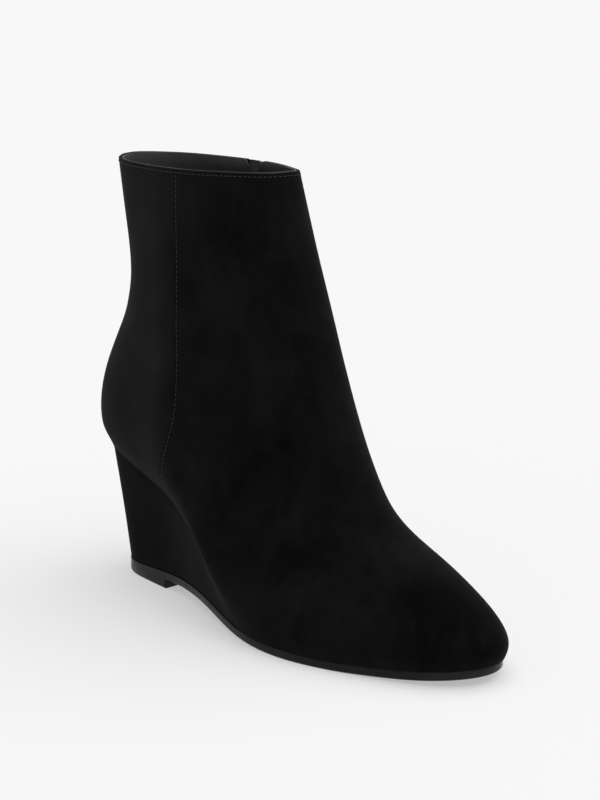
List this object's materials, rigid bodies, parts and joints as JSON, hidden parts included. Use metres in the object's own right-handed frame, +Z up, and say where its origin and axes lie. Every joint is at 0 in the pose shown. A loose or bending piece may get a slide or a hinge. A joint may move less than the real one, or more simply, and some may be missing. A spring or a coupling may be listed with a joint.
{
  "type": "wedge ankle boot",
  "caption": "Suede ankle boot for the right foot with an almond toe, a covered wedge heel, a thin rubber outsole and an inner side zip.",
  "frame": {"origin": "middle of the heel's tread, on the floor", "axes": "+X towards the toe, +Y towards the inner side, +Z up"},
  "size_m": [0.2428, 0.0861, 0.1995],
  "materials": {
    "suede": "matt black suede",
    "rubber": "semi-gloss black",
    "lining": "smooth dark grey",
    "tape": "woven black, with a black nylon coil",
    "gold": "polished pale gold"
  },
  "bodies": {
    "boot": {"outsole": "rubber", "wedge": "suede", "insole": "lining", "upper": "suede", "back_tab": "suede", "zip_tape": "tape", "zip_teeth": "tape", "zip_slider": "gold"},
    "pull": {"zip_pull": "gold"}
  },
  "joints": [
    {"name": "pull_hinge", "type": "hinge", "parent": "boot", "child": "pull", "pos_m": [0.03264, 0.03049, 0.19202], "axis": [0.9997, -0.0176, 0.0179], "range_deg": [0, 170]}
  ]
}
